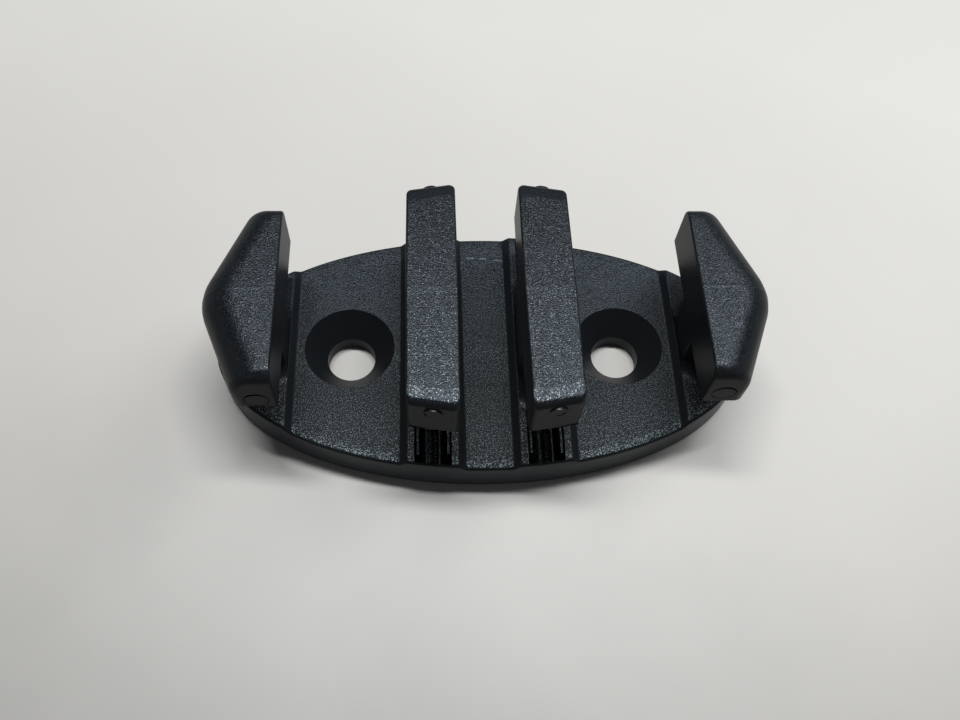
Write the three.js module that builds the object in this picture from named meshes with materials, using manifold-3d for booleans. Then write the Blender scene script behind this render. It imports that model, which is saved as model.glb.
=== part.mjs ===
// One-piece zig-zag line cleat for small boats, moulded in black glass-filled nylon.
//
// An oval base carries two upright bars across its middle and a wedge-shaped horn at each end.
// Bars and horns stand on shorter posts, so their ends overhang the base at the front and the rear.
// A line is laid along a slot, turned round a post under an overhang and laid back along the next
// slot, where it jams. Two countersunk holes fix the cleat to a deck or a mast.
//
// The cleat is a single moulding. It is divided here at its natural boundaries, the top of the
// base platforms and the underside of the overhangs, so every solid is a simple closed body.
//
// Frame, in millimetres: origin at the centre of the base's underside, +X along the base,
// +Y to the rear, +Z up. The cleat is symmetric about the planes X = 0 and Y = 0.

import * as THREE from "three";
import Module from "manifold-3d";
import { mergeVertices } from "three/addons/utils/BufferGeometryUtils.js";

const wasm = await Module();
wasm.setup();

// ---- Driving dimensions ----

const BASE_LENGTH = 64;
const BASE_WIDTH = 31.8;
const CLEAT_HEIGHT = 18.5;

const PANEL_HEIGHT = 5.1;
const PLATFORM_HEIGHT = 5.85;
const BAR_OVERHANG_HEIGHT = 12.35;
const HORN_OVERHANG_HEIGHT = 11.9;
const RIM_RADIUS = 0.35;
const SLOPE_RUN = 0.8;

const SCREW_SPACING = 32.7;
const SCREW_HOLE_RADIUS = 2.9;
const COUNTERSINK_RADIUS = 5.37;
const COUNTERSINK_DEPTH = 3.07;

const BAR_CENTRE = 6.48;
const BAR_WIDTH = 5.8;
const BAR_END_WIDTH = 5.58;
const BAR_INNER_REACH = 14.5;
const BAR_OUTER_REACH = 13.8;
const BAR_END_RADIUS = 1;
const BAR_PLATFORM_WIDTH = 5.9;
const BAR_POST_REACH = 8;
const BAR_POST_SHOULDER = 4;
const BAR_POST_END_RADIUS = 1.9;

const POCKET_WIDTH = 4.24;
const POCKET_DEPTH = 3.2;
const POCKET_START = 8.6;
const POCKET_REACH = 14.9;
const RIB_WIDTH = 0.26;
const RIB_OFFSET = 0.75;
const RIB_DROP = 0.8;
const FIN_WIDTH = 0.32;
const FIN_OFFSET = 1.74;
const FIN_REACH = 14.3;

const HORN_INNER_FACE = 23.2;
const HORN_REACH = 10.95;
const HORN_TIP = 32.2;
const HORN_TAPER = 0.415;
const HORN_TIP_RADIUS = 6;
const HORN_CORNER_RADIUS = 1.2;
const HORN_SHARP_RADIUS = 0.1;
const HORN_TOP_RADIUS = 4;
const HORN_END_RADIUS = 1.5;
const HORN_PLATFORM_EDGE = 23.45;
const HORN_POST_INNER_REACH = 3.2;
const HORN_POST_OUTER_REACH = 5.2;
const HORN_POST_FLARE = 4;
const HORN_POST_INNER_RADIUS = 0.6;
const HORN_POST_SHOULDER_RADIUS = 1.5;
const HORN_POST_OUTER_RADIUS = 0.5;

const ARC_STEPS = 6;
const RIM_STEPS = 3;
const OVAL_STEPS = 96;
const HOLE_STEPS = 48;
const CLEARANCE = 1;
const WELD_DISTANCE = 1e-5;

// ---- Solids ----

// Joins a geometry's shared corners and hands it to the boolean library.
function toSolid(geometry) {
  const bare = geometry.clone();
  bare.deleteAttribute("normal");
  bare.deleteAttribute("uv");
  const merged = mergeVertices(bare.index ? bare.toNonIndexed() : bare, WELD_DISTANCE);
  return new wasm.Manifold(new wasm.Mesh({
    numProp: 3,
    vertProperties: new Float32Array(merged.attributes.position.array),
    triVerts: new Uint32Array(merged.index.array),
  }));
}

function toGeometry(solid) {
  const mesh = solid.getMesh();
  const geometry = new THREE.BufferGeometry();
  geometry.setAttribute("position", new THREE.BufferAttribute(mesh.vertProperties, 3));
  geometry.setIndex(new THREE.BufferAttribute(mesh.triVerts, 1));
  geometry.computeVertexNormals();
  return geometry;
}

// A box between two corners.
function block(low, high) {
  const size = high.map((value, axis) => value - low[axis]);
  const geometry = new THREE.BoxGeometry(...size);
  geometry.translate(...low.map((value, axis) => value + size[axis] / 2));
  return geometry;
}

// Extrudes a closed outline of [x, y] points from one height to another.
function prism(outline, bottom, top) {
  const shape = new THREE.Shape(outline.map(([x, y]) => new THREE.Vector2(x, y)));
  const geometry = new THREE.ExtrudeGeometry(shape, { depth: top - bottom, bevelEnabled: false });
  geometry.translate(0, 0, bottom);
  return geometry;
}

// Rounds the corners of a convex outline. Each corner is [x, y, radius], anticlockwise, and gives
// the same number of points whatever its radius, so outlines of one family can be lofted.
function roundedOutline(corners) {
  const points = [];
  corners.forEach(([x, y, radius], index) => {
    const before = corners[(index + corners.length - 1) % corners.length];
    const after = corners[(index + 1) % corners.length];
    const corner = new THREE.Vector2(x, y);
    const toBefore = new THREE.Vector2(before[0] - x, before[1] - y).normalize();
    const toAfter = new THREE.Vector2(after[0] - x, after[1] - y).normalize();
    const halfAngle = Math.acos(toBefore.dot(toAfter)) / 2;
    const bisector = toBefore.clone().add(toAfter).normalize();
    const centre = corner.clone().addScaledVector(bisector, radius / Math.sin(halfAngle));
    const tangent = corner.clone().addScaledVector(toBefore, radius / Math.tan(halfAngle));
    const start = tangent.sub(centre).angle();
    const sweep = Math.PI - 2 * halfAngle;
    for (let step = 0; step <= ARC_STEPS; step += 1) {
      const angle = start + (sweep * step) / ARC_STEPS;
      points.push([centre.x + radius * Math.cos(angle), centre.y + radius * Math.sin(angle)]);
    }
  });
  return points;
}

// Skins a stack of convex outlines with equal point counts, each { z, points }, and caps its ends.
function loft(rings) {
  const count = rings[0].points.length;
  const positions = rings.flatMap(({ z, points }) => points.flatMap(([x, y]) => [x, y, z]));
  const index = [];
  for (let level = 0; level + 1 < rings.length; level += 1) {
    for (let i = 0; i < count; i += 1) {
      const a = level * count + i;
      const b = level * count + ((i + 1) % count);
      index.push(a, b, b + count, a, b + count, a + count);
    }
  }
  const lid = (rings.length - 1) * count;
  for (let i = 1; i + 1 < count; i += 1) {
    index.push(0, i + 1, i);
    index.push(lid, lid + i, lid + i + 1);
  }
  const geometry = new THREE.BufferGeometry();
  geometry.setAttribute("position", new THREE.Float32BufferAttribute(positions, 3));
  geometry.setIndex(index);
  return geometry;
}

// How far a quarter-round top edge of the given radius has turned in at a height.
function topInset(z, radius) {
  const above = Math.max(0, z - (CLEAT_HEIGHT - radius));
  return radius - Math.sqrt(Math.max(0, radius * radius - above * above));
}

// Heights that follow a top edge of the given radius up to the flat top.
function roundingLevels(radius) {
  return Array.from({ length: ARC_STEPS + 1 }, (_, step) => {
    const angle = (Math.PI / 2) * (step / ARC_STEPS);
    return CLEAT_HEIGHT - radius + radius * Math.sin(angle);
  });
}

// ---- Base ----

// The oval slab: a turned disc with a rounded rim, squeezed to the base's width.
function ovalSlab(height) {
  const radius = BASE_LENGTH / 2;
  const profile = [new THREE.Vector2(0, 0), new THREE.Vector2(radius, 0)];
  for (let step = 0; step <= RIM_STEPS; step += 1) {
    const angle = (Math.PI / 2) * (step / RIM_STEPS);
    const across = radius - RIM_RADIUS + RIM_RADIUS * Math.cos(angle);
    profile.push(new THREE.Vector2(across, height - RIM_RADIUS + RIM_RADIUS * Math.sin(angle)));
  }
  profile.push(new THREE.Vector2(0, height));
  const geometry = new THREE.LatheGeometry(profile, OVAL_STEPS);
  geometry.rotateX(Math.PI / 2);
  geometry.scale(1, BASE_WIDTH / BASE_LENGTH, 1);
  return toSolid(geometry);
}

// A raised strip across the base, with a sloping side towards each panel.
function platformWedge(left, right) {
  const rise = PLATFORM_HEIGHT - PANEL_HEIGHT;
  const spread = (SLOPE_RUN * (PANEL_HEIGHT + rise)) / rise;
  const section = [
    new THREE.Vector2(left - spread, 0),
    new THREE.Vector2(right + spread, 0),
    new THREE.Vector2(right, PLATFORM_HEIGHT),
    new THREE.Vector2(left, PLATFORM_HEIGHT),
  ];
  const shape = new THREE.Shape(section);
  const depth = BASE_WIDTH + 2 * CLEARANCE;
  const geometry = new THREE.ExtrudeGeometry(shape, { depth, bevelEnabled: false });
  geometry.rotateX(Math.PI / 2);
  geometry.translate(0, depth / 2, 0);
  return toSolid(geometry);
}

// The platforms under the two bars and the two horns, cut to the oval.
function platforms() {
  const half = BAR_PLATFORM_WIDTH / 2;
  const beyond = BASE_LENGTH;
  return ovalSlab(PLATFORM_HEIGHT).intersect(
    platformWedge(-BAR_CENTRE - half, -BAR_CENTRE + half)
      .add(platformWedge(BAR_CENTRE - half, BAR_CENTRE + half))
      .add(platformWedge(HORN_PLATFORM_EDGE, beyond))
      .add(platformWedge(-beyond, -HORN_PLATFORM_EDGE)),
  );
}

// A screw hole with its countersink, as a turned plug.
function screwPlug(x) {
  const seat = PANEL_HEIGHT - COUNTERSINK_DEPTH;
  const flare = (COUNTERSINK_RADIUS - SCREW_HOLE_RADIUS) / COUNTERSINK_DEPTH;
  const geometry = new THREE.LatheGeometry([
    new THREE.Vector2(0, -CLEARANCE),
    new THREE.Vector2(SCREW_HOLE_RADIUS, -CLEARANCE),
    new THREE.Vector2(SCREW_HOLE_RADIUS, seat),
    new THREE.Vector2(COUNTERSINK_RADIUS + flare * CLEARANCE, PANEL_HEIGHT + CLEARANCE),
    new THREE.Vector2(0, PANEL_HEIGHT + CLEARANCE),
  ], HOLE_STEPS);
  geometry.rotateX(Math.PI / 2);
  geometry.translate(x, 0, 0);
  return toSolid(geometry);
}

// A block along Y at one end of the cleat (-1 front, 1 rear), between two distances from the
// middle plane and two heights.
function lengthwise(x, width, end, [start, reach], [bottom, top]) {
  const near = Math.min(end * start, end * reach);
  const far = Math.max(end * start, end * reach);
  return toSolid(block([x - width / 2, near, bottom], [x + width / 2, far, top]));
}

// The cored pocket in a bar's platform at one end, with two low ribs in its middle and a fin along
// each side. The fins stop short of the rim.
function pocket(x, end) {
  const floor = PLATFORM_HEIGHT - POCKET_DEPTH;
  const above = PLATFORM_HEIGHT + CLEARANCE;
  const root = POCKET_START - CLEARANCE;
  const ribRun = [root, POCKET_REACH + CLEARANCE];
  const ribTop = PLATFORM_HEIGHT - RIB_DROP;
  const finTop = above + CLEARANCE;
  let hollow = lengthwise(x, POCKET_WIDTH, end, [POCKET_START, POCKET_REACH], [floor, above]);
  for (const side of [-1, 1]) {
    const rib = lengthwise(x + side * RIB_OFFSET, RIB_WIDTH, end, ribRun, [0, ribTop]);
    const fin = lengthwise(x + side * FIN_OFFSET, FIN_WIDTH, end, [root, FIN_REACH], [0, finTop]);
    hollow = hollow.subtract(rib).subtract(fin);
  }
  return hollow;
}

function basePlate() {
  let solid = ovalSlab(PANEL_HEIGHT).add(platforms());
  for (const side of [-1, 1]) {
    solid = solid.subtract(screwPlug((side * SCREW_SPACING) / 2));
    for (const end of [-1, 1]) {
      solid = solid.subtract(pocket(side * BAR_CENTRE, end));
    }
  }
  return toGeometry(solid);
}

// ---- Posts ----

// A bar's post: widest in the middle, where it is flush with the bar, tapering to rounded ends.
function barPost(side) {
  const x = side * BAR_CENTRE;
  const half = BAR_WIDTH / 2;
  const tip = BAR_POST_END_RADIUS;
  const outline = roundedOutline([
    [x + half, -BAR_POST_SHOULDER, tip],
    [x + half, BAR_POST_SHOULDER, tip],
    [x + tip, BAR_POST_REACH, tip],
    [x - tip, BAR_POST_REACH, tip],
    [x - half, BAR_POST_SHOULDER, tip],
    [x - half, -BAR_POST_SHOULDER, tip],
    [x - tip, -BAR_POST_REACH, tip],
    [x + tip, -BAR_POST_REACH, tip],
  ]);
  return prism(outline, PLATFORM_HEIGHT, BAR_OVERHANG_HEIGHT);
}

// A horn's post: narrow at the slot, wider outside, with the horn's own pointed outer wall.
function hornPost(side) {
  const outer = HORN_TIP - HORN_TAPER * HORN_POST_OUTER_REACH;
  const inner = HORN_PLATFORM_EDGE;
  const shoulder = inner + HORN_POST_FLARE;
  const outline = roundedOutline([
    [inner, -HORN_POST_INNER_REACH, HORN_POST_INNER_RADIUS],
    [shoulder, -HORN_POST_OUTER_REACH, HORN_POST_SHOULDER_RADIUS],
    [outer, -HORN_POST_OUTER_REACH, HORN_POST_OUTER_RADIUS],
    [HORN_TIP, 0, HORN_TIP_RADIUS],
    [outer, HORN_POST_OUTER_REACH, HORN_POST_OUTER_RADIUS],
    [shoulder, HORN_POST_OUTER_REACH, HORN_POST_SHOULDER_RADIUS],
    [inner, HORN_POST_INNER_REACH, HORN_POST_INNER_RADIUS],
  ]);
  return faceSide(prism(outline, PLATFORM_HEIGHT, HORN_OVERHANG_HEIGHT), side);
}

// ---- Bars and horns ----

// A bar: drafted towards its ends, which follow the oval of the base and are rounded into the
// flat top.
function bar(side) {
  const middle = BAR_WIDTH / 2;
  const end = BAR_END_WIDTH / 2;
  const ring = (z) => {
    const inner = BAR_INNER_REACH - topInset(z, BAR_END_RADIUS);
    const outer = BAR_OUTER_REACH - topInset(z, BAR_END_RADIUS);
    return {
      z,
      points: [
        [BAR_CENTRE - end, -inner],
        [BAR_CENTRE + end, -outer],
        [BAR_CENTRE + middle, 0],
        [BAR_CENTRE + end, outer],
        [BAR_CENTRE - end, inner],
        [BAR_CENTRE - middle, 0],
      ],
    };
  };
  const levels = [BAR_OVERHANG_HEIGHT, ...roundingLevels(BAR_END_RADIUS)];
  return faceSide(loft(levels.map(ring)), side);
}

// A horn: a pointed wedge in plan, flat on top, with a large radius round its outer edge and a
// smaller one at its two ends. Its inner face is a plain upright plane.
function horn(side) {
  const ring = (z) => {
    const tip = HORN_TIP - topInset(z, HORN_TOP_RADIUS) * Math.hypot(1, HORN_TAPER);
    const reach = HORN_REACH - topInset(z, HORN_END_RADIUS);
    const corner = tip - HORN_TAPER * reach;
    return {
      z,
      points: roundedOutline([
        [HORN_INNER_FACE, -reach, HORN_SHARP_RADIUS],
        [corner, -reach, HORN_CORNER_RADIUS],
        [tip, 0, HORN_TIP_RADIUS],
        [corner, reach, HORN_CORNER_RADIUS],
        [HORN_INNER_FACE, reach, HORN_SHARP_RADIUS],
      ]),
    };
  };
  const rounding = [...roundingLevels(HORN_TOP_RADIUS), ...roundingLevels(HORN_END_RADIUS)];
  const levels = [...new Set([HORN_OVERHANG_HEIGHT, ...rounding])].sort((a, b) => a - b);
  return faceSide(loft(levels.map(ring)), side);
}

// Keeps a piece made for +X, or turns it half a turn about the vertical to stand at -X.
function faceSide(geometry, side) {
  if (side < 0) geometry.rotateZ(Math.PI);
  return geometry;
}

// ---- Assembly ----

const NYLON = { color: 0x2a2d2f, roughness: 0.45, metalness: 0 };

function piece(name, geometry) {
  const mesh = new THREE.Mesh(geometry, new THREE.MeshStandardMaterial(NYLON));
  mesh.name = name;
  return mesh;
}

const cleat = new THREE.Group();
cleat.add(piece("base_plate", basePlate()));
for (const [label, side] of [["left", -1], ["right", 1]]) {
  cleat.add(piece(`inner_post_${label}`, barPost(side)));
  cleat.add(piece(`inner_bar_${label}`, bar(side)));
  cleat.add(piece(`end_post_${label}`, hornPost(side)));
  cleat.add(piece(`end_horn_${label}`, horn(side)));
}

export default cleat;
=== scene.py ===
# Looks of a one-piece zig-zag line cleat, moulded in black glass-filled nylon.
#
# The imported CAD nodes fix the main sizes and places. Each node is replaced by a finer mesh of the
# same part of the moulding, with its rounded edges, fillets, draft, parting line, ejector-pin marks
# and flash. Shapes are worked out in millimetres, in the CAD frame, and meshes are made in metres.
# A side is -1 for left and 1 for right, and an end is -1 for the front and 1 for the rear.

import math
from bisect import bisect_right

import bmesh
import bpy
from mathutils import Matrix, Vector, noise


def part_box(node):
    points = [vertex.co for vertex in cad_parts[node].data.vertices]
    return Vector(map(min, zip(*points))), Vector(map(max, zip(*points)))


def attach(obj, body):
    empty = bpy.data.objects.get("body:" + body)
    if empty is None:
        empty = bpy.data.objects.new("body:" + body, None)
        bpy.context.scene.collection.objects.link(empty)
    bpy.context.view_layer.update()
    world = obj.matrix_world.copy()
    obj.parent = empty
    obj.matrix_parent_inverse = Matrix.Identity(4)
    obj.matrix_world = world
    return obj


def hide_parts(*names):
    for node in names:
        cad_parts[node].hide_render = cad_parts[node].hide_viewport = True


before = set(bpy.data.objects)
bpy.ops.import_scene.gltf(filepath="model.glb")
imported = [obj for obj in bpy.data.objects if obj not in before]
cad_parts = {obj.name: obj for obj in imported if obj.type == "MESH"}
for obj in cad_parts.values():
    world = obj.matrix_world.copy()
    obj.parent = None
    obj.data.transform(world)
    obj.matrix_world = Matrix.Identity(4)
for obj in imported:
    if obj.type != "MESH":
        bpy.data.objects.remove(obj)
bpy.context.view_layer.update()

MM = 0.001
BODY = "root"
NAMES = {-1: "left", 1: "right"}


def node_box(name):
    """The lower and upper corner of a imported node's box, in millimetres."""
    low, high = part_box(name)
    return low / MM, high / MM


# ---- Sizes, in millimetres ----

_, base_high = node_box("base_plate")
bar_low, bar_high = node_box("inner_bar_right")
bar_post_low, bar_post_high = node_box("inner_post_right")
horn_low, horn_high = node_box("end_horn_right")
horn_post_low, horn_post_high = node_box("end_post_right")

HALF_LENGTH = base_high.x
HALF_WIDTH = base_high.y
TOP = bar_high.z
BAR_OVERHANG = bar_low.z
HORN_OVERHANG = horn_low.z
PLATFORM = bar_post_low.z
PLATFORM_RISE = 0.75
PANEL = PLATFORM - PLATFORM_RISE

# Base: the front rim has a sloping facet, the rear rim is only rounded.
RIM_RADIUS = 0.35
RIM_FACET_RUN = 0.9
RIM_FACET_DROP = 0.19
BASE_FOOT_RADIUS = 0.35
WALL_LOW = 0.7
WALL_HIGH = PANEL - 0.9
FOOT_RADIUS = 0.12
SLOPE_RUN = 0.8
SLOPE_TOP_RADIUS = 0.5
SLOPE_FOOT_RADIUS = 0.5
PANEL_DRAFT = 0.004

# Screw holes
SCREW_X = 16.35
HOLE_RADIUS = 2.9
COUNTERSINK_RADIUS = 5.37
COUNTERSINK_DEPTH = 3.07

# Bars: drafted to their ends, which slant to follow the oval, with a facet at the top of each.
BAR_X = (bar_low.x + bar_high.x) / 2
BAR_HALF = (bar_high.x - bar_low.x) / 2
BAR_DRAFT = 0.11
BAR_INNER_REACH = bar_high.y
BAR_END_SKEW = 0.7
BAR_OUTER_REACH = BAR_INNER_REACH - BAR_END_SKEW
BAR_END_RADIUS = 0.9
BAR_FACET_RUN = 1.2
BAR_FACET_TILT = math.radians(6)
BAR_FACET_DROP = BAR_FACET_RUN * math.tan(BAR_FACET_TILT)
BAR_ROUND_START = TOP - BAR_FACET_DROP - BAR_END_RADIUS * math.cos(BAR_FACET_TILT)
BAR_SLANT = BAR_END_SKEW / (2 * BAR_HALF)
BAR_EDGE_RADIUS = 0.3
BAR_CORNER_RADIUS = 0.7
BAR_PLATFORM_HALF = 2.95

# Posts under the bars, and the fillets of all the posts
POST_REACH = bar_post_high.y
POST_FLUSH_REACH = 3.9
POST_END_RADIUS = 1.9
FILLET = 1.4

# Flash on the middle panel: each length's start and end along X, and its place along Y
SCUFFS = (
    (-3.0, -2.3, 12.45),
    (-1.9, -0.9, 12.95),
    (-0.5, 0.6, 12.9),
    (1.2, 2.6, 12.65),
)
SCUFF_FRONT = 0.14
SCUFF_REAR = 0.08
SCUFF_RISE = 0.015
SCUFF_TILT = 0.05
SCUFF_SWAY = 0.12
SCUFF_CHATTER = 0.06

# Flash along the lower edges of the bars' ends
FLASH_ROOT = 0.16
FLASH_HANG = 0.05
FLASH_FADE = 0.3
FLASH_CHATTER = 0.3
FLASH_LEAN = 0.07
FLASH_SWAY = 0.04

# Pockets, with the low ribs in their middles and the fins along their sides
POCKET_HALF = 2.12
POCKET_DEPTH = 3.2
POCKET_FLOOR = PLATFORM - POCKET_DEPTH
POCKET_START = 8.6
POCKET_LIP = 0.2
RIB_X = 0.75
RIB_HALF = 0.12
RIB_DROP = 0.8
RIB_TOP = PLATFORM - RIB_DROP
FIN_X = 1.74
FIN_HALF = 0.16
FIN_REACH = 14.3

# Horns and the posts under them
HORN_FACE = horn_low.x
HORN_REACH = horn_high.y
HORN_TIP = 32.2
HORN_TAPER = 0.415
HORN_TIP_RADIUS = 6.0
HORN_SLOPE = math.atan(HORN_TAPER)
HORN_LEAN = math.hypot(1, HORN_TAPER)
HORN_TIP_REACH = HORN_TIP_RADIUS * math.sin(HORN_SLOPE)
HORN_TOP_RADIUS = 4.0
HORN_END_RADIUS = 1.5
HORN_CORNER_RADIUS = 1.2
HORN_EDGE_RADIUS = 0.32
HORN_POST_FACE = horn_post_low.x
HORN_POST_INNER = 3.2
HORN_POST_OUTER = horn_post_high.y
HORN_POST_FLARE = 4.0
HORN_POST_CORNER = 0.6
HORN_POST_SHY = 0.9

# Ejector-pin marks
BAR_FRONT_PIN_RADIUS = 1.0
BAR_FRONT_PIN_DEPTHS = {-1: 2.25, 1: 2.1}
BAR_REAR_PIN_RADIUS = 1.3
BAR_REAR_PIN_DEPTH = 2.0
PIN_RING_HALF = 0.1
PIN_RING_PROUD = 0.2
PIN_RING_LEAST = 0.1
PIN_RING_CHATTER = 0.5
HORN_PIN_RADIUS = 1.38
HORN_PIN_X = 25.2
HORN_PIN_HEIGHTS = {-1: 1.5, 1: 2.0}
PIN_GROOVE_WIDTH = 0.10
PIN_GROOVE_SWELL = 0.25
PIN_GROOVE_DEPTH = 0.16
PIN_GROOVE_TILT = 0.10
PIN_GROOVE_CHATTER = 0.10

# Parting line, lower on the panels than on the bars and horns
SEAM_HALF = 0.1
SEAM_LIFT = 0.025
PANEL_SEAM_SHARE = 0.6

# How far posts are sunk into their neighbours, how far cuts run past a surface, and the least
# distance that keeps two faces apart
OVERLAP = 0.25
CLEARANCE = 1
HAIR = 0.01
LEVEL_GAP = 0.004
TOP_EDGE = 0.02

# How finely shapes are divided
QUARTER = math.pi / 2
CURVE_ANGLES = 9
FOOT_ANGLES = 5
BASE_FOOT_ANGLES = 4
RIM_ANGLES = 6
CORNER_ANGLES = 7
BAR_END_ANGLES = 9
POST_END_ANGLES = 17
HORN_CORNER_ANGLES = 12
FACET_LEVELS = 4
BAR_SIDE_ROWS = 10
HORN_SIDE_ROWS = 9
HORN_POST_FLARE_ROWS = 12
HORN_POST_WALL_ROWS = 10
OVAL_STATIONS = 91
SCUFF_STATIONS = 12
FLASH_STATIONS = 41
HOLE_STEPS = 96
PIN_RING_STEPS = 64
PIN_GROOVE_STEPS = 72

# Surfaces: the least angle of a sharp edge, how strongly large faces set the shading, and the
# distance in metres within which points are joined
SHARP_ANGLE = math.radians(32)
FACE_WEIGHT = 90
WELD_DISTANCE = 1e-7


# ---- Mesh building ----


def quarter_inset(depth, radius):
    """How far a quarter-round edge has turned in, at a depth past where it starts."""
    depth = min(max(depth, 0.0), radius)
    return radius - math.sqrt(radius * radius - depth * depth)


def spread(start, end, count):
    """Evenly spaced values from start to end, both included."""
    return [start + (end - start) * i / (count - 1) for i in range(count)]


def skin(loops, cap=True):
    """Faces between closed loops of equal length. Caps are ladders between a loop's two halves."""
    size = len(loops[0])
    points = [p for loop in loops for p in loop]
    faces = []
    for row in range(len(loops) - 1):
        for i in range(size):
            j = (i + 1) % size
            low, high = row * size, (row + 1) * size
            faces.append((low + i, low + j, high + j, high + i))
    if cap:
        for start in (0, (len(loops) - 1) * size):
            for i in range(size // 2 - 1):
                faces.append((start + i, start + i + 1, start + size - 2 - i, start + size - 1 - i))
    return points, faces


def quarter_turn(count):
    """Evenly spaced angles over a quarter turn, both ends included."""
    return spread(0, QUARTER, count)


def mirrored(values):
    """Rising values above 0, with 0 and their negatives put before them."""
    return [-value for value in reversed(values)] + [0] + values


def rung_loop(rungs):
    """The closed loop that runs up one end of a row of rungs and back down the other."""
    return [a for a, _ in rungs] + [b for _, b in reversed(rungs)]


def turned(profile, steps):
    """A closed profile of (radius, height) points turned about Z."""
    loops = []
    for i in range(steps + 1):
        angle = math.tau * i / steps
        loops.append([(r * math.cos(angle), r * math.sin(angle), z) for r, z in profile])
    return skin(loops, cap=False)


def moved(shell, matrix):
    """A shell with a matrix applied to its points."""
    points, faces = shell
    return [tuple(matrix @ Vector(p)) for p in points], faces


def mesh_from(name, shells):
    """One mesh, in metres, from closed shells in millimetres, with faces pointing out."""
    bm = bmesh.new()
    for points, faces in shells:
        verts = [bm.verts.new(Vector(p) * MM) for p in points]
        for face in faces:
            bm.faces.new([verts[i] for i in face])
    bmesh.ops.remove_doubles(bm, verts=bm.verts, dist=WELD_DISTANCE)
    bmesh.ops.dissolve_degenerate(bm, edges=bm.edges, dist=WELD_DISTANCE)
    bmesh.ops.recalc_face_normals(bm, faces=bm.faces)
    mesh = bpy.data.meshes.new(name)
    bm.to_mesh(mesh)
    bm.free()
    return mesh


def add_object(name, shells):
    """A new object in the scene, from closed shells in millimetres."""
    obj = bpy.data.objects.new(name, mesh_from(name, shells))
    bpy.context.scene.collection.objects.link(obj)
    return obj


def apply_modifiers(obj):
    """Replaces the mesh by the one its modifiers give."""
    graph = bpy.context.evaluated_depsgraph_get()
    mesh = bpy.data.meshes.new_from_object(obj.evaluated_get(graph))
    obj.modifiers.clear()
    obj.data = mesh


def cut_or_join(obj, operation, shells):
    """Cuts closed shells out of a piece, or joins them to it."""
    tool = add_object("tool", shells)
    modifier = obj.modifiers.new(operation, "BOOLEAN")
    modifier.operation = operation
    modifier.solver = "EXACT"
    modifier.object = tool
    apply_modifiers(obj)
    bpy.data.objects.remove(tool)


def finish_surface(obj):
    """Smooth shading with sharp creases kept, and flats left flat."""
    obj.data.shade_smooth()
    obj.data.set_sharp_from_angle(angle=SHARP_ANGLE)
    weighted = obj.modifiers.new("weighted normals", "WEIGHTED_NORMAL")
    weighted.keep_sharp = True
    weighted.weight = FACE_WEIGHT
    apply_modifiers(obj)


def filleted(corners):
    """An open line through (x, z, radius) corners, each rounded by its radius."""
    steps = 4
    line = [corners[0][:2]]
    for before, corner, after in zip(corners, corners[1:], corners[2:]):
        here = Vector(corner[:2])
        to_before = (Vector(before[:2]) - here).normalized()
        to_after = (Vector(after[:2]) - here).normalized()
        half_angle = to_before.angle(to_after) / 2
        back = corner[2] / math.tan(half_angle)
        start, end = here + to_before * back, here + to_after * back
        for i in range(steps + 1):
            t = i / steps
            point = start * (1 - t) ** 2 + here * 2 * t * (1 - t) + end * t * t
            line.append(tuple(point))
    line.append(corners[-1][:2])
    return line


def height_on(line, x):
    """The height of an open line at x."""
    i = min(max(bisect_right([p[0] for p in line], x), 1), len(line) - 1)
    (x0, z0), (x1, z1) = line[i - 1], line[i]
    return z0 + (z1 - z0) * (x - x0) / (x1 - x0)


# ---- Base plate ----


def deck_line():
    """The height of the base's top from the middle out to the tip: panels and platforms."""
    inner, outer = BAR_X - BAR_PLATFORM_HALF, BAR_X + BAR_PLATFORM_HALF
    edge = HORN_POST_FACE
    return filleted([
        (0, PANEL, 0),
        (inner - SLOPE_RUN, PANEL, SLOPE_FOOT_RADIUS),
        (inner, PLATFORM, SLOPE_TOP_RADIUS),
        (outer, PLATFORM, SLOPE_TOP_RADIUS),
        (outer + SLOPE_RUN, PANEL, SLOPE_FOOT_RADIUS),
        (edge - SLOPE_RUN, PANEL, SLOPE_FOOT_RADIUS),
        (edge, PLATFORM, SLOPE_TOP_RADIUS),
        (HALF_LENGTH + CLEARANCE, PLATFORM, 0),
    ])


def rim_point(angle):
    """The oval's outer point at an angle, its outward direction, and the point where the top starts."""
    point = Vector((HALF_LENGTH * math.cos(angle), HALF_WIDTH * math.sin(angle)))
    out = Vector((math.cos(angle) / HALF_LENGTH, math.sin(angle) / HALF_WIDTH)).normalized()
    return point, out, point - out * RIM_RADIUS


def rim_angle(x):
    """The angle at which the top starts at this x, found by halving."""
    halvings = 40
    low, high = 0.0, math.pi
    for _ in range(halvings):
        middle = (low + high) / 2
        if rim_point(middle)[2].x > x:
            low = middle
        else:
            high = middle
    return (low + high) / 2


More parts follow.
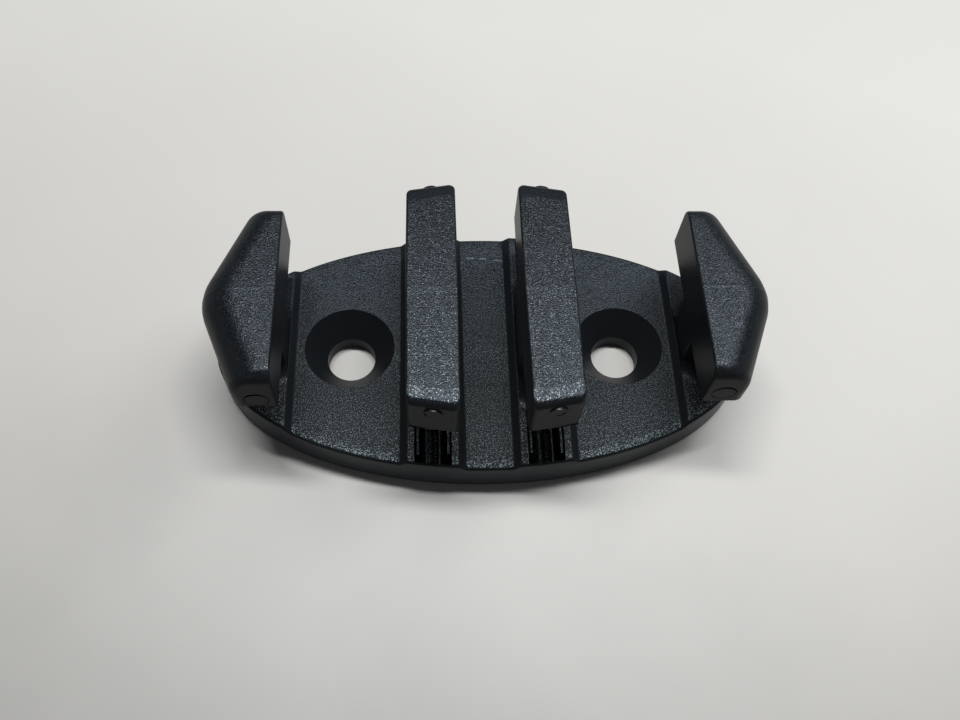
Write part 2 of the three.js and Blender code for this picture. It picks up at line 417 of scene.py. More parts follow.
def base_loop(angle, deck):
    """The base's cross-section at one station, from the front foot over the top to the rear foot."""
    outer, out, inner = rim_point(angle)
    crown = height_on(deck, abs(inner.x))
    height = crown - PANEL_DRAFT * inner.y
    run = min(RIM_FACET_RUN, inner.y / 3)
    seam = min(SEAM_HALF, inner.y / 2)

    def half(drop):
        points = []
        for turn in quarter_turn(BASE_FOOT_ANGLES):
            foot = outer - out * BASE_FOOT_RADIUS * (1 - math.sin(turn))
            points.append((foot, BASE_FOOT_RADIUS * (1 - math.cos(turn))))
        points += [(outer, WALL_LOW), (outer, WALL_HIGH)]
        for turn in quarter_turn(RIM_ANGLES):
            shoulder = outer - out * RIM_RADIUS * (1 - math.cos(turn))
            points.append((shoulder, height - drop - RIM_RADIUS * (1 - math.sin(turn))))
        points.append((Vector((inner.x, inner.y - run)), height))
        points.append((Vector((inner.x, seam)), crown - PANEL_DRAFT * seam))
        return points

    middle = (inner.x, 0, crown + SEAM_LIFT * PANEL_SEAM_SHARE)
    front = [(p.x, -p.y, z) for p, z in half(RIM_FACET_DROP * run / RIM_FACET_RUN)]
    rear = [(p.x, p.y, z) for p, z in reversed(half(0))]
    return front + [middle] + rear


def screw_plug(x):
    """A screw hole with its countersink."""
    flare = (COUNTERSINK_RADIUS - HOLE_RADIUS) / COUNTERSINK_DEPTH
    profile = [
        (0, -CLEARANCE),
        (HOLE_RADIUS, -CLEARANCE),
        (HOLE_RADIUS, PANEL - COUNTERSINK_DEPTH),
        (COUNTERSINK_RADIUS + flare * CLEARANCE, PANEL + CLEARANCE),
        (0, PANEL + CLEARANCE),
    ]
    return moved(turned(profile, HOLE_STEPS), Matrix.Translation((x, 0, 0)))


def rim_reach(x):
    """How far the oval reaches from its long axis at x."""
    return HALF_WIDTH * math.sqrt(1 - (x / HALF_LENGTH) ** 2)


def wall_top(x, half, top):
    """The cut-out's edge over a thin wall with a rounded top, as (x, z) points from left to right."""
    flat = half * 0.6
    return [
        (x - half, POCKET_FLOOR),
        (x - half, top - half),
        (x - flat, top),
        (x + flat, top),
        (x + half, top - half),
        (x + half, POCKET_FLOOR),
    ]


def pocket_cut(x, end, start, reach, fins):
    """A length of a pocket, to be cut out round its two ribs and, if there are any, its two fins."""
    walls = [(side * RIB_X, RIB_HALF, RIB_TOP) for side in (-1, 1)]
    if fins:
        walls += [(side * FIN_X, FIN_HALF, PLATFORM) for side in (-1, 1)]
    above = PLATFORM + CLEARANCE
    comb = [(-POCKET_HALF, above), (-POCKET_HALF, POCKET_FLOOR)]
    for place, half, top in sorted(walls):
        comb += wall_top(place, half, top)
    comb += [(POCKET_HALF, POCKET_FLOOR), (POCKET_HALF, above)]
    points = [(x + px, start * end, z) for px, z in comb]
    points += [(x + px, reach(x + px) * end, z) for px, z in comb]
    size = len(comb)
    faces = [(i, (i + 1) % size, size + (i + 1) % size, size + i) for i in range(size)]
    faces.append(tuple(range(size)))
    faces.append(tuple(range(2 * size - 1, size - 1, -1)))
    return points, faces


def panel_scuffs():
    """A broken line of flash across the rear of the middle panel, its top tilted to the front."""
    sunk = 0.1
    shells = []
    for start, finish, y in SCUFFS:
        height = PANEL - PANEL_DRAFT * y
        loops = []
        for x in spread(start, finish, SCUFF_STATIONS):
            middle = y + SCUFF_SWAY * noise.noise(Vector((x * 2.1, y, 0)))
            rise = SCUFF_RISE + SCUFF_CHATTER * noise.noise(Vector((x * 3.3, y, 4)))
            loops.append([
                (x, middle - SCUFF_FRONT, height - sunk),
                (x, middle - SCUFF_FRONT, height + rise),
                (x, middle + SCUFF_REAR, height + rise + SCUFF_TILT),
                (x, middle + SCUFF_REAR, height - sunk),
            ])
        shells.append(skin(loops))
    return shells


def base_plate():
    """The oval base: panels and platforms, with its screw holes and pockets cut out."""
    deck = deck_line()
    edges = [x * side for x, _ in deck if x < HALF_LENGTH - RIM_RADIUS for side in (-1, 1)]
    stations = {rim_angle(x) for x in edges} | set(spread(0, math.pi, OVAL_STATIONS))
    loops = [base_loop(angle, deck) for angle in sorted(stations)]
    obj = add_object("cleat_base", [skin(loops, cap=False)])

    def to_fins(_):
        return FIN_REACH

    def to_lip(x):
        return rim_reach(x) - POCKET_LIP

    backs = []
    fronts = []
    for side in (-1, 1):
        for end in (-1, 1):
            backs.append(pocket_cut(side * BAR_X, end, POCKET_START, to_fins, fins=True))
            fronts.append(pocket_cut(side * BAR_X, end, FIN_REACH - HAIR, to_lip, fins=False))
    holes = [screw_plug(side * SCREW_X) for side in (-1, 1)]
    cut_or_join(obj, "DIFFERENCE", backs + holes)
    cut_or_join(obj, "DIFFERENCE", fronts)
    cut_or_join(obj, "UNION", panel_scuffs())
    return obj


# ---- Posts ----


def flare_at(z, overhang):
    """How far a post's fillets have spread at a height, towards the platform or the overhang."""
    from_platform = FILLET - (z - PLATFORM)
    from_overhang = FILLET - (overhang - z)
    return quarter_inset(max(from_platform, from_overhang), FILLET)


def post_levels(overhang):
    """Heights up a post, close together in its fillets, with both ends sunk into its neighbours."""
    rises = [FILLET * (1 - math.cos(turn)) for turn in quarter_turn(CURVE_ANGLES)]
    foot = [PLATFORM + rise for rise in rises]
    head = [overhang - rise for rise in reversed(rises)]
    return [PLATFORM - OVERLAP] + foot + head + [overhang + OVERLAP]


def bar_post(side):
    """A bar's post: flush with the bar's sides in the middle, with filleted rounded ends."""
    def half_width(y, flare):
        tail = POST_REACH - POST_END_RADIUS + flare
        narrow = POST_END_RADIUS + flare
        if abs(y) > tail:
            over = (abs(y) - tail) * narrow / POST_END_RADIUS
            narrow = math.sqrt(max(narrow * narrow - over * over, 0))
        blend = min(max((abs(y) - POST_FLUSH_REACH) / (tail - POST_FLUSH_REACH), 0), 1)
        flush = BAR_HALF - BAR_DRAFT * abs(y) / BAR_INNER_REACH - HAIR
        return min(flush, flush + (narrow - flush) * blend)

    loops = []
    for z in post_levels(BAR_OVERHANG):
        flare = flare_at(z, BAR_OVERHANG)
        beyond = POST_REACH + flare - POST_FLUSH_REACH
        ends = [POST_FLUSH_REACH + beyond * math.sin(turn) for turn in quarter_turn(POST_END_ANGLES)]
        rungs = []
        for y in mirrored([SEAM_HALF] + ends):
            half = half_width(y, flare)
            rungs.append(((side * BAR_X - half, y, z), (side * BAR_X + half, y, z)))
        loops.append(rung_loop(rungs))
    return add_object(f"cleat_bar_post_{NAMES[side]}", [skin(loops)])


def horn_wall(y):
    """How far out the horn's pointed outer wall is, at a distance from its middle plane."""
    if abs(y) < HORN_TIP_REACH:
        round_centre = HORN_TIP - HORN_TIP_RADIUS * HORN_LEAN
        return round_centre + math.sqrt(HORN_TIP_RADIUS ** 2 - y * y)
    return HORN_TIP - HORN_TAPER * abs(y)


def inside_horn_wall(x, half):
    """A half depth at x, drawn in step by step until it lies inside the horn's outer wall."""
    step = 0.02
    while horn_wall(half) < x + step and half > step:
        half -= step
    return half


def horn_post(side):
    """A horn's post: narrow at the slot and wider outside, inside the horn's outer wall."""
    def half_depth(x, flare):
        past_face = x - (HORN_POST_FACE - flare)
        share = min(max(past_face / HORN_POST_FLARE, 0), 1)
        eased = share * share * (3 - 2 * share)
        depth = HORN_POST_INNER + (HORN_POST_OUTER - HORN_POST_INNER) * eased + flare
        return depth - quarter_inset(HORN_POST_CORNER - past_face, HORN_POST_CORNER)

    corner = HORN_POST_FACE + HORN_POST_CORNER
    shoulder = HORN_POST_FACE + HORN_POST_FLARE
    stations = [
        HORN_POST_FACE + HORN_POST_CORNER * (1 - math.cos(turn))
        for turn in quarter_turn(CORNER_ANGLES)
    ]
    stations += spread(corner, shoulder, HORN_POST_FLARE_ROWS)[1:]
    stations += spread(shoulder, HORN_TIP - HORN_POST_SHY, HORN_POST_WALL_ROWS)[1:]
    loops = []
    for z in post_levels(HORN_OVERHANG):
        flare = flare_at(z, HORN_OVERHANG)
        rungs = []
        for x in stations:
            half = inside_horn_wall(x, half_depth(x, flare))
            rungs.append(((side * x, -half * side, z), (side * x, half * side, z)))
        loops.append(rung_loop(rungs))
    return add_object(f"cleat_horn_post_{NAMES[side]}", [skin(loops)])


# ---- Bars and horns ----


def foot_levels(low):
    """Heights that follow a rounded lower edge."""
    return [low + FOOT_RADIUS * (1 - math.cos(turn)) for turn in quarter_turn(FOOT_ANGLES)]


def horn_levels():
    """Heights of a horn that follow its rounded lower edge and its three upper roundings."""
    levels = set(foot_levels(HORN_OVERHANG))
    for radius in (HORN_TOP_RADIUS, HORN_END_RADIUS, HORN_EDGE_RADIUS):
        for turn in quarter_turn(CURVE_ANGLES):
            levels.add(TOP - radius + radius * math.sin(turn))
    kept = []
    for z in sorted(levels):
        if not kept or z - kept[-1] > LEVEL_GAP:
            kept.append(z)
    kept[-1] = TOP
    return kept


def bar_levels():
    """Heights of a bar that follow its rounded edges and its facet."""
    turns = spread(0, QUARTER - BAR_FACET_TILT, BAR_END_ANGLES)
    levels = foot_levels(BAR_OVERHANG)
    levels += [BAR_ROUND_START + BAR_END_RADIUS * math.sin(turn) for turn in turns]
    levels += spread(TOP - BAR_FACET_DROP, TOP - TOP_EDGE, FACET_LEVELS)[1:]
    return sorted(levels) + [TOP]


def bar_end_inset(z):
    """How far a bar's end has turned in at a height: a short sloping facet, then a round edge."""
    if z > TOP - BAR_FACET_DROP:
        corner = BAR_END_RADIUS * (1 - math.sin(BAR_FACET_TILT))
        return corner + BAR_FACET_RUN * (1 - (TOP - z) / BAR_FACET_DROP)
    return quarter_inset(z - BAR_ROUND_START, BAR_END_RADIUS)


def seam_lift(y):
    """The low ridge that the mould's parting line leaves at the middle plane."""
    return SEAM_LIFT * max(0, 1 - abs(y) / SEAM_HALF)


def bar(side):
    """A bar, drafted from its middle to its two ends, which are cut to the curve of the oval."""
    def side_points(z, outward):
        foot = quarter_inset(BAR_OVERHANG + FOOT_RADIUS - z, FOOT_RADIUS)
        edge = quarter_inset(z - (TOP - BAR_EDGE_RADIUS), BAR_EDGE_RADIUS) + foot
        reach = BAR_OUTER_REACH if outward > 0 else BAR_INNER_REACH
        tail = reach - bar_end_inset(z) - foot - BAR_CORNER_RADIUS
        ends = [tail + BAR_CORNER_RADIUS * math.sin(turn) for turn in quarter_turn(CORNER_ANGLES)]
        points = []
        for y in mirrored(spread(SEAM_HALF, tail, BAR_SIDE_ROWS)[:-1] + ends):
            half = BAR_HALF - BAR_DRAFT * abs(y) / BAR_INNER_REACH - edge
            half -= quarter_inset(abs(y) - tail, BAR_CORNER_RADIUS)
            half += seam_lift(y)
            lift = seam_lift(y) if z == TOP else 0
            points.append((side * (BAR_X + outward * half), y, z + lift))
        return points

    loops = []
    for z in bar_levels():
        inner, outer = side_points(z, -1), side_points(z, 1)
        loops.append(rung_loop(list(zip(inner, outer))))
    shells = [skin(loops)]
    for end in (-1, 1):
        shells.append(bar_flash(side, end))
        shells.append(bar_pin_mark(side, end))
    return add_object(f"cleat_bar_{NAMES[side]}", shells)


def end_frame(side, end, across):
    """The point on a bar's end face at a distance across it, level with the overhang's underside."""
    reach = (BAR_INNER_REACH + BAR_OUTER_REACH) / 2 - BAR_SLANT * across
    return Vector((side * (BAR_X + across), end * reach, BAR_OVERHANG))


def bar_flash(side, end):
    """The ragged lip of flash along the lower edge of a bar's end."""
    half = BAR_HALF - BAR_DRAFT - 0.1
    inside, above = 0.2, 0.12
    loops = []
    for across in spread(-half, half, FLASH_STATIONS):
        place = end_frame(side, end, across)
        ragged = noise.noise(place * 0.9) + 0.5 * noise.noise(place * 3.1)
        faded = min(1, (half - abs(across)) / FLASH_FADE)
        hang = FLASH_HANG + FLASH_CHATTER * max(0, 0.35 + ragged) * faded
        lean = FLASH_LEAN + FLASH_SWAY * noise.noise(place * 2.3)
        section = [(FLASH_ROOT, inside), (FLASH_ROOT, -hang * 0.6), (lean, -hang), (HAIR, above)]
        loops.append([tuple(place + Vector((0, -end * back, up))) for back, up in section])
    return skin(loops)


def pin_ring(radius, seed):
    """The ring of flash round an ejector pin, about Z: highest at the top, broken lower down."""
    sunk = -0.4
    crest = PIN_RING_HALF / 2
    loops = []
    for i in range(PIN_RING_STEPS):
        angle = math.tau * i / PIN_RING_STEPS
        place = Vector((math.cos(angle), math.sin(angle), seed))
        ragged = PIN_RING_CHATTER * noise.noise(place * 1.7)
        rise = PIN_RING_PROUD * (max(0, place.y) + PIN_RING_LEAST + ragged)
        section = [(-PIN_RING_HALF, sunk), (-crest, rise), (crest, rise), (PIN_RING_HALF, sunk)]
        loops.append([
            ((radius + across) * place.x, (radius + across) * place.y, height)
            for across, height in section
        ])
    return skin(loops + loops[:1], cap=False)


def on_end(shell, point, end, slant=0.0):
    """A shell made in the XY plane, stood on a front or rear end face with its Y upwards."""
    facing = Vector((slant, end, 0)).normalized()
    turn = facing.to_track_quat("Z", "Y").to_matrix().to_4x4()
    return moved(shell, Matrix.Translation(point) @ turn)


def bar_pin_mark(side, end):
    """The ring of flash on a bar's end face: small on the front end, larger on the rear."""
    if end > 0:
        radius, below_top = BAR_REAR_PIN_RADIUS, BAR_REAR_PIN_DEPTH
    else:
        radius, below_top = BAR_FRONT_PIN_RADIUS, BAR_FRONT_PIN_DEPTHS[side]
    point = end_frame(side, end, 0) + Vector((0, 0, TOP - below_top - BAR_OVERHANG))
    return on_end(pin_ring(radius, side * 2 + end), point, end, side * BAR_SLANT)


def horn(side):
    """A horn: a pointed wedge in plan with a large radius round its outer edge."""
    def rungs_at(z):
        foot = quarter_inset(HORN_OVERHANG + FOOT_RADIUS - z, FOOT_RADIUS)
        top = quarter_inset(z - (TOP - HORN_TOP_RADIUS), HORN_TOP_RADIUS)
        edge = quarter_inset(z - (TOP - HORN_EDGE_RADIUS), HORN_EDGE_RADIUS) + foot
        reach = HORN_REACH - quarter_inset(z - (TOP - HORN_END_RADIUS), HORN_END_RADIUS) - foot
        corner_y = reach - HORN_CORNER_RADIUS
        wall_inset = (top + foot) * HORN_LEAN
        corner_x = HORN_TIP - wall_inset - HORN_TAPER * corner_y - HORN_CORNER_RADIUS * HORN_LEAN
        turns = spread(HORN_SLOPE, QUARTER, HORN_CORNER_ANGLES)
        ends = [corner_y + HORN_CORNER_RADIUS * math.sin(turn) for turn in turns]
        middle = spread(SEAM_HALF, HORN_TIP_REACH, HORN_SIDE_ROWS)
        middle += spread(HORN_TIP_REACH, ends[0], HORN_SIDE_ROWS)[1:-1]
        rungs = []
        for y in mirrored(middle + ends):
            if abs(y) < ends[0]:
                outer = horn_wall(y) - wall_inset
            else:
                past = abs(y) - corner_y
                outer = corner_x + math.sqrt(max(HORN_CORNER_RADIUS ** 2 - past * past, 0))
            inner = HORN_FACE + edge
            inner += quarter_inset(abs(y) - (reach - HORN_EDGE_RADIUS), HORN_EDGE_RADIUS)
            lift = seam_lift(y)
            rise = lift if z == TOP else 0
            rungs.append((
                (side * (inner - lift), side * y, z + rise),
                (side * (outer + lift), side * y, z + rise),
            ))
        return rungs

    loops = [rung_loop(rungs_at(z)) for z in horn_levels()]
    obj = add_object(f"cleat_horn_{NAMES[side]}", [skin(loops)])
    cut_or_join(obj, "DIFFERENCE", [horn_pin_groove(side, end) for end in (-1, 1)])
    return obj


def horn_pin_groove(side, end):
    """The groove round an ejector pin on a horn's end face, widest at its top and broken below."""
    proud = 0.5
    loops = []
    for i in range(PIN_GROOVE_STEPS):
        angle = math.tau * i / PIN_GROOVE_STEPS
        across, up = math.cos(angle), math.sin(angle)
        ragged = noise.noise(Vector((across * 2, up * 2, side * 5 + end)))
        inner = HORN_PIN_RADIUS - PIN_GROOVE_WIDTH - PIN_GROOVE_SWELL * max(0, up) ** 1.5
        depth = PIN_GROOVE_DEPTH + PIN_GROOVE_TILT * up + PIN_GROOVE_CHATTER * ragged
        outer = HORN_PIN_RADIUS
        section = [(inner, proud), (inner, -depth), (outer, -depth), (outer, proud)]
        loops.append([(radius * across, radius * up, height) for radius, height in section])
    point = Vector((side * HORN_PIN_X, end * HORN_REACH, HORN_OVERHANG + HORN_PIN_HEIGHTS[side]))
    return on_end(skin(loops + loops[:1], cap=False), point, end)


# ---- Materials ----

NYLON_DARK = (0.0120, 0.0138, 0.0155, 1)
NYLON_PALE = (0.0150, 0.0172, 0.0190, 1)
# Painted reflection: a lighter colour for the low upright walls of the base and its pockets, as if lit
# by the table.
NYLON_WALL_REFLECTION = (0.052, 0.057, 0.062, 1)
# The grey bloom's colour, also used for a painted sheen on faces that tilt to the front.
NYLON_HAZE_AND_SHEEN = (0.049, 0.057, 0.065, 1)
# Painted glints: the bright colours of the grit and points where the light catches them.
PANEL_GLINT_COLOUR = (0.235, 0.282, 0.29, 1)
TOP_GLINT_COLOUR = (0.273, 0.291, 0.301, 1)
NYLON_ROUGHNESS = 0.34
NYLON_SPECULAR = 0.06
HAZE_METALLIC = 0.75
BUMP_HEIGHT = 0.05
BUMP_STRENGTHS = (0.04, 1.0)

# Sizes of the nylon's markings, in millimetres
GRAIN_SIZE = 0.17
GRIT_SIZE = 0.13
SPARK_SIZE = 0.19
PATCH_SIZE = 0.9
CLOUD_SIZE = 4.0

# Where the looks come in: ranges of a normal's Z or Y, then of a height or a place in millimetres
UPWARD_NORMAL = (0.72, 0.97)
LEVEL_NORMAL = (0.93, 0.995)
UPRIGHT_NORMAL = (0.1, 0.3)
REAR_NORMAL = (0.03, 0.09)
FRONT_NORMAL = (-0.22, -0.03)
RAISED_HEIGHT = (PANEL + 2, TOP - 5)
WALL_REFLECTION_HEIGHT = (PANEL - 0.4, PLATFORM)
PANEL_HAZE_Y = (-5, 12)
PANEL_SPARKLE_Y = (-14, 10)
TOP_HAZE_Y = (-14, 0)
SEAM_Y = (0, 0.15)
# Painted shade: faces behind this place that turn to the rear lose their glints.
GLINTLESS_REAR_Y = (8, 10)
HORN_SPARKLE_X = (20, 24)

# How strong the looks are at the two ends of those ranges
PANEL_HAZE = (0.08, 1.22)
TOP_HAZE = (0.88, 1.03)
TOP_HAZE_BEHIND_SEAM = (1, 0.93)
# A painted sheen, where faces tilt to the front towards the light.
FRONT_SHEEN = (0.3, 0)
# Even grey bloom on those rear-facing faces: painted shade, where the light gives no glints.
GLINTLESS_REAR_HAZE = 0.6
# Painted glints: stronger towards the front of the panels, weaker out on the horns, and strongest on
# faces that tilt to the front.
PANEL_SPARKLE = (0.80, 0.17)
PANEL_SPARKLE_BEHIND_SEAM = (1, 0.7)
TOP_SPARKLE = (0.64, 0.39)
FRONT_GLINT = (2.6, 1)
OUT = (1, 0)

# The parts of the noises that show
GRAIN_RANGE = (0.36, 0.68)
GRIT_RANGE = (0.55, 0.68)
PATCH_RANGE = (0.3, 0.7)
PATCH_SHIFT = (-0.03, 0.03)
SPARK_RADIUS = (0.1, 0.5)
SPARK_TINTS = (0.4, 1)

# The table: its tone from dark to pale, which is painted shade, the direction it runs in, per metre,
# and its mottle
TABLE_RAMP = (
    (0.0, (0.41, 0.392, 0.366, 1)),
    (0.4, (0.635, 0.605, 0.565, 1)),
    (1.0, (0.775, 0.745, 0.70, 1)),
)
TABLE_SHADE_SLOPE = (2.0, 8.8, 0)
TABLE_SPAN = (-0.40, 0.70)
TABLE_MOTTLE = 0.3
TABLE_MOTTLE_SIZE = 1000 / 30
TABLE_ROUGHNESS = 0.45


class Surface:
    """A new Principled material, with short ways to add the few kinds of node used here."""

    def __init__(self, name):
        self.material = bpy.data.materials.new(name)
        self.material.use_nodes = True
        self.nodes = self.material.node_tree.nodes
        self.links = self.material.node_tree.links
        self.shader = self.nodes["Principled BSDF"]
        self.object_place = self.nodes.new("ShaderNodeTexCoord").outputs["Object"]

    def feed(self, socket, source):
        """Links a node's output to a socket, or sets the socket to a value."""
        if isinstance(source, bpy.types.NodeSocket):
            self.links.new(source, socket)
        else:
            socket.default_value = source

    def split(self, vector):
        """The X, Y and Z of a vector."""
        node = self.nodes.new("ShaderNodeSeparateXYZ")
        self.feed(node.inputs[0], vector)
        return node.outputs["X"], node.outputs["Y"], node.outputs["Z"]

    def noise(self, size, detail):
        """Soft noise over the object, with features of about this size in millimetres."""
        node = self.nodes.new("ShaderNodeTexNoise")
        node.inputs["Scale"].default_value = 1 / (size * MM)
        node.inputs["Detail"].default_value = detail
        self.feed(node.inputs["Vector"], self.object_place)
        return node.outputs["Fac"]

    def ranged(self, value, span, levels=(0, 1)):
        """Runs from the first level to the second as a value crosses a span, and no further."""
        node = self.nodes.new("ShaderNodeMapRange")
        node.inputs["From Min"].default_value, node.inputs["From Max"].default_value = span
        node.inputs["To Min"].default_value, node.inputs["To Max"].default_value = levels
        self.feed(node.inputs["Value"], value)
        return node.outputs["Result"]

    def placed(self, place, span, levels=(0, 1)):
        """The same for a coordinate and a span in millimetres."""
        low, high = span
        return self.ranged(place, (low * MM, high * MM), levels)

    def maths(self, operation, *sources):
        """The result of a Math node."""
        node = self.nodes.new("ShaderNodeMath")
        node.operation = operation
        for socket, source in zip(node.inputs, sources):
            self.feed(socket, source)
        return node.outputs[0]

    def times(self, first, second):
        """The product of two numbers."""
        return self.maths("MULTIPLY", first, second)

    def blended(self, factor, first, second):
        """A number that goes from the first to the second."""
        node = self.nodes.new("ShaderNodeMix")
        for index, source in ((0, factor), (2, first), (3, second)):
            self.feed(node.inputs[index], source)
        return node.outputs[0]

    def mixed(self, factor, first, second):
        """A colour that goes from the first to the second."""
        node = self.nodes.new("ShaderNodeMix")
        node.data_type = "RGBA"
        for index, source in ((0, factor), (6, first), (7, second)):
            self.feed(node.inputs[index], source)
        return node.outputs[2]


def moulded_nylon():
    """Black nylon: fine grain where the surface faces up, smoother elsewhere, with painted glints, a
    painted sheen, painted shade and a painted reflection in its colour.
    """
    surface = Surface("black moulded nylon")
    ranged, placed, times = surface.ranged, surface.placed, surface.times
    blended, mixed = surface.blended, surface.mixed
    x, y, z = surface.split(surface.object_place)
    normal = surface.nodes.new("ShaderNodeNewGeometry").outputs["Normal"]
    _, normal_y, normal_z = surface.split(normal)
    raised = placed(z, RAISED_HEIGHT)
    upward = ranged(normal_z, UPWARD_NORMAL)
    # Painted shade: rear-facing faces near the rear get even grey bloom and no glints, as the light
    # gives them none.
    glintless_rear = times(ranged(normal_y, REAR_NORMAL), placed(y, GLINTLESS_REAR_Y))

    # Haze: a soft grey bloom, which fades towards the front of the panels, with a painted sheen added
    # where faces tilt to the front.
    panel_haze = placed(y, PANEL_HAZE_Y, PANEL_HAZE)
    top_haze = times(placed(y, TOP_HAZE_Y, TOP_HAZE), placed(y, SEAM_Y, TOP_HAZE_BEHIND_SEAM))
    front_sheen = ranged(normal_y, FRONT_NORMAL, FRONT_SHEEN)
    haze_and_sheen_here = surface.maths("ADD", blended(raised, panel_haze, top_haze), front_sheen)
    haze_and_sheen_gain = times(upward, haze_and_sheen_here)
    grain = surface.noise(GRAIN_SIZE, detail=2.0)
    patches = ranged(surface.noise(PATCH_SIZE, detail=2.0), PATCH_RANGE, PATCH_SHIFT)
    grain_here = ranged(surface.maths("ADD", grain, patches), GRAIN_RANGE)
    haze_and_sheen = times(blended(glintless_rear, grain_here, GLINTLESS_REAR_HAZE), haze_and_sheen_gain)

    # Painted glints: bright fine grit on the panels and separate bright points on the bars and horns,
    # stronger where faces tilt to the front and where the light falls on them.
    cells = surface.nodes.new("ShaderNodeTexVoronoi")
    cells.inputs["Scale"].default_value = 1 / (SPARK_SIZE * MM)
    surface.feed(cells.inputs["Vector"], surface.object_place)
    tint = surface.nodes.new("ShaderNodeSeparateColor")
    surface.feed(tint.inputs[0], cells.outputs["Color"])
    dots = ranged(cells.outputs["Distance"], SPARK_RADIUS, OUT)
    points = times(dots, ranged(tint.outputs[0], SPARK_TINTS))
    grit = ranged(surface.noise(GRIT_SIZE, detail=1.0), GRIT_RANGE)
    panel_sparkle = times(
        placed(y, PANEL_SPARKLE_Y, PANEL_SPARKLE),
        placed(y, SEAM_Y, PANEL_SPARKLE_BEHIND_SEAM),
    )
    near, far = HORN_SPARKLE_X
    top_sparkle = ranged(times(x, x), ((near * MM) ** 2, (far * MM) ** 2), TOP_SPARKLE)
    sparkle_here = blended(raised, panel_sparkle, top_sparkle)
    sparkle_gain = times(ranged(normal_z, LEVEL_NORMAL), sparkle_here)
    front_glint = ranged(normal_y, FRONT_NORMAL, FRONT_GLINT)
    glinting = ranged(glintless_rear, (0, 1), OUT)
    painted_glints = times(blended(raised, grit, points), sparkle_gain)
    painted_glints = times(painted_glints, times(front_glint, glinting))

    # Colour: plain nylon, lighter on the base's low walls as a painted reflection, then the grey bloom
    # with its painted sheen, then the painted glints.
    plain = mixed(surface.noise(CLOUD_SIZE, detail=3.0), NYLON_DARK, NYLON_PALE)
    # Painted reflection: low upright walls are made lighter, in place of the light the table throws on
    # them.
    wall_reflection = times(ranged(normal_z, UPRIGHT_NORMAL, OUT), placed(z, WALL_REFLECTION_HEIGHT, OUT))
    plain = mixed(wall_reflection, plain, NYLON_WALL_REFLECTION)
    with_haze_and_sheen = mixed(haze_and_sheen, plain, NYLON_HAZE_AND_SHEEN)
    glint_colour = mixed(raised, PANEL_GLINT_COLOUR, TOP_GLINT_COLOUR)
    shader = surface.shader
    surface.feed(shader.inputs["Base Color"], mixed(painted_glints, with_haze_and_sheen, glint_colour))
    surface.feed(shader.inputs["Metallic"], ranged(haze_and_sheen_gain, (0, 1), (0, HAZE_METALLIC)))
    shader.inputs["Specular IOR Level"].default_value = NYLON_SPECULAR
    shader.inputs["Roughness"].default_value = NYLON_ROUGHNESS

    bump = surface.nodes.new("ShaderNodeBump")
    bump.inputs["Distance"].default_value = BUMP_HEIGHT * MM
    surface.feed(bump.inputs["Strength"], ranged(upward, (0, 1), BUMP_STRENGTHS))
    surface.feed(bump.inputs["Height"], grain)
    surface.feed(shader.inputs["Normal"], bump.outputs["Normal"])
    return surface.material


def pale_table():
    """An off-white table top with painted shade, a little darker towards the front left, and a faint
    mottle.
    """
    surface = Surface("pale table")
    # Painted shade: the table darkens towards the front left, as the light falls off there.
    along = surface.nodes.new("ShaderNodeVectorMath")
    along.operation = "DOT_PRODUCT"
    along.inputs[1].default_value = TABLE_SHADE_SLOPE
    surface.feed(along.inputs[0], surface.object_place)
    mottle = surface.noise(TABLE_MOTTLE_SIZE, detail=4)
    shade = surface.maths("MULTIPLY_ADD", mottle, TABLE_MOTTLE, along.outputs["Value"])
    ramp = surface.nodes.new("ShaderNodeValToRGB")
    surface.feed(ramp.inputs["Fac"], surface.ranged(shade, TABLE_SPAN))
    elements = ramp.color_ramp.elements
    elements.new(TABLE_RAMP[1][0])
    for element, (position, colour) in zip(elements, TABLE_RAMP):
        element.position = position
        element.color = colour
    surface.feed(surface.shader.inputs["Base Color"], ramp.outputs["Color"])
    surface.shader.inputs["Roughness"].default_value = TABLE_ROUGHNESS
    return surface.material


# ---- Assembly ----

nylon = moulded_nylon()


def finish_piece(obj, node):
    """Shades a piece, gives it the nylon, and sets it in the place of its CAD node."""
    finish_surface(obj)
    obj.data.materials.clear()
    obj.data.materials.append(nylon)
    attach(obj, BODY)
    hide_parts(node)


finish_piece(base_plate(), "base_plate")
for side, name in NAMES.items():
    finish_piece(bar_post(side), f"inner_post_{name}")
    finish_piece(bar(side), f"inner_bar_{name}")
    finish_piece(horn_post(side), f"end_post_{name}")
    finish_piece(horn(side), f"end_horn_{name}")


# ---- Table, light and camera ----

# All in metres, except the lens, which is in millimetres
TABLE_HALF = 0.9
TABLE_HEIGHT = -0.00002

LIGHT_COLOUR = (0.95, 0.98, 1.0)
WORLD_COLOUR = (0.86, 0.90, 1.0, 1)
WORLD_STRENGTH = 0.075

CAMERA_AIM = Vector((-0.366, 0.881, 0)) * MM
CAMERA_DISTANCE = 115.014 * MM
CAMERA_TURN = math.radians(-6.949)
CAMERA_RISE = math.radians(61.527)
CAMERA_ROLL = math.radians(5.616)
CAMERA_LENS = 33.98
CAMERA_NEAR = 0.005

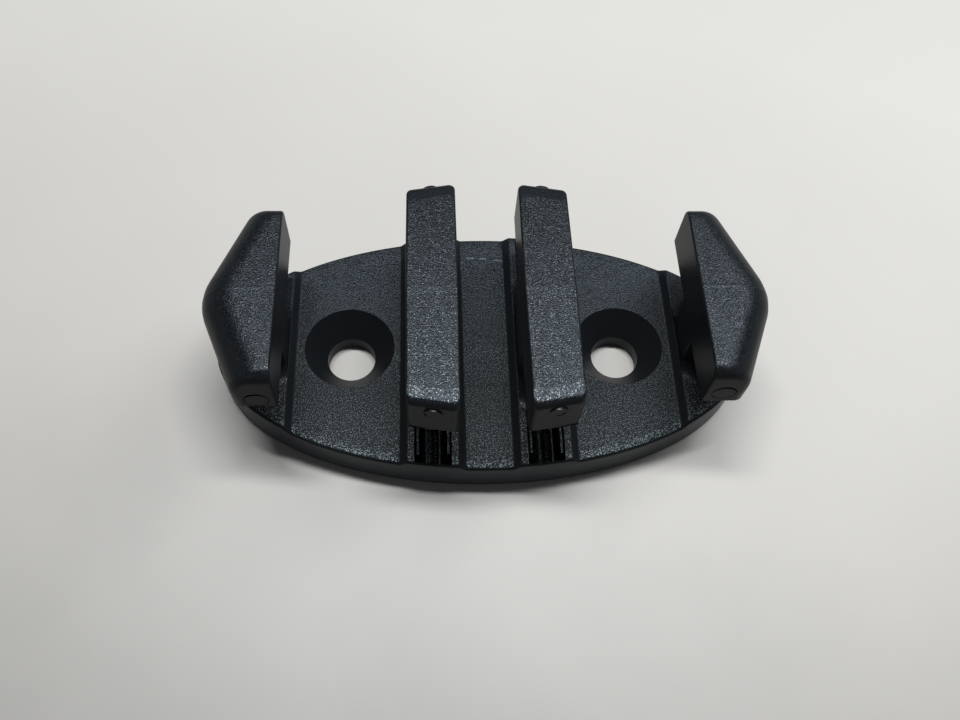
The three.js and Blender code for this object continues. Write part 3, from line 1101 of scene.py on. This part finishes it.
table_mesh = bpy.data.meshes.new("table")
table_corners = [
    (x * TABLE_HALF, y * TABLE_HALF, TABLE_HEIGHT)
    for x, y in ((-1, -1), (1, -1), (1, 1), (-1, 1))
]
table_mesh.from_pydata(table_corners, [], [(0, 1, 2, 3)])
table_mesh.materials.append(pale_table())
table = bpy.data.objects.new("table", table_mesh)
bpy.context.scene.collection.objects.link(table)


def soft_light(name, place, size, power):
    """A soft rectangular light aimed at the origin, with its place and size in metres."""
    data = bpy.data.lights.new(name, "AREA")
    data.shape = "RECTANGLE"
    data.size, data.size_y = size
    data.energy = power
    data.color = LIGHT_COLOUR
    lamp = bpy.data.objects.new(name, data)
    lamp.location = place
    lamp.rotation_mode = "QUATERNION"
    lamp.rotation_quaternion = (-Vector(place)).to_track_quat("-Z", "Y")
    bpy.context.scene.collection.objects.link(lamp)


soft_light("tubes", place=(0.01, 0.10, 0.50), size=(0.40, 0.05), power=2.25)
soft_light("window", place=(0.27, 0.15, 0.34), size=(0.20, 0.20), power=0.52)

world = bpy.data.worlds.new("studio")
world.use_nodes = True
background = world.node_tree.nodes["Background"]
background.inputs["Color"].default_value = WORLD_COLOUR
background.inputs["Strength"].default_value = WORLD_STRENGTH
bpy.context.scene.world = world

# The camera looks down at the cleat from the front, a little from the left, and is rolled.
back = Vector((
    math.sin(CAMERA_TURN) * math.cos(CAMERA_RISE),
    -math.cos(CAMERA_TURN) * math.cos(CAMERA_RISE),
    math.sin(CAMERA_RISE),
))
level = Vector((math.cos(CAMERA_TURN), math.sin(CAMERA_TURN), 0))
above = back.cross(level)
camera_x = level * math.cos(CAMERA_ROLL) + above * math.sin(CAMERA_ROLL)
camera_y = above * math.cos(CAMERA_ROLL) - level * math.sin(CAMERA_ROLL)
facing = Matrix((camera_x, camera_y, back)).transposed().to_4x4()
camera = bpy.data.objects.new("camera", bpy.data.cameras.new("camera"))
camera.data.lens = CAMERA_LENS
camera.data.clip_start = CAMERA_NEAR
camera.matrix_world = Matrix.Translation(CAMERA_AIM + back * CAMERA_DISTANCE) @ facing
bpy.context.scene.collection.objects.link(camera)
bpy.context.scene.camera = camera
bpy.context.scene.view_settings.view_transform = "Standard"
